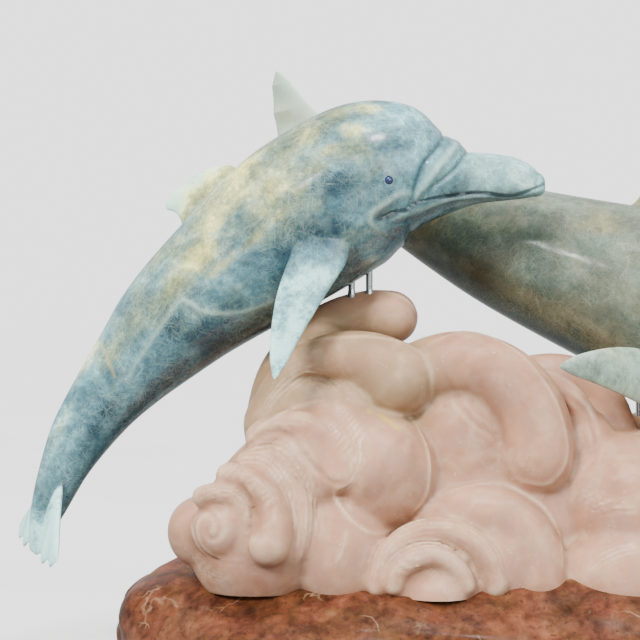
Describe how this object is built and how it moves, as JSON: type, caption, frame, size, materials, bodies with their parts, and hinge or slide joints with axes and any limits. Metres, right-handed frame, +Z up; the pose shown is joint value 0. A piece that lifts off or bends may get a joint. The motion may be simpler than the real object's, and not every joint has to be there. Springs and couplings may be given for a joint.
{
  "type": "gemstone dolphin sculpture",
  "caption": "Carved pale blue-green stone dolphins leaping over a swirling rose quartz wave, held on steel pins, set in a polished red-brown stone.",
  "frame": {"origin": "centre of the base stone's flat underside", "axes": "+Z up, +X along the sculpture towards the beaks, +Y away from the viewer"},
  "size_m": [0.7408, 0.3709, 0.488],
  "materials": {
    "front_aquamarine": "high polish, pale blue with white veins, creamy back and darker belly",
    "rear_aquamarine": "high polish, grey-green with white clouds, slightly translucent",
    "rose_quartz": "satin polish, pale pink, translucent",
    "brown_stone": "polished, mottled red-brown",
    "polished_steel": "polished",
    "sapphire": "polished dark blue cabochon"
  },
  "bodies": {
    "root": {"wave": "rose_quartz", "base_stone": "brown_stone", "front_dolphin": "front_aquamarine", "rear_dolphin": "rear_aquamarine", "front_dolphin_right_eye": "sapphire", "front_dolphin_left_eye": "sapphire", "rear_dolphin_right_eye": "sapphire", "rear_dolphin_left_eye": "sapphire", "front_main_pin": "polished_steel", "front_second_pin": "polished_steel", "rear_main_pin": "polished_steel", "rear_second_pin": "polished_steel"}
  },
  "joints": []
}
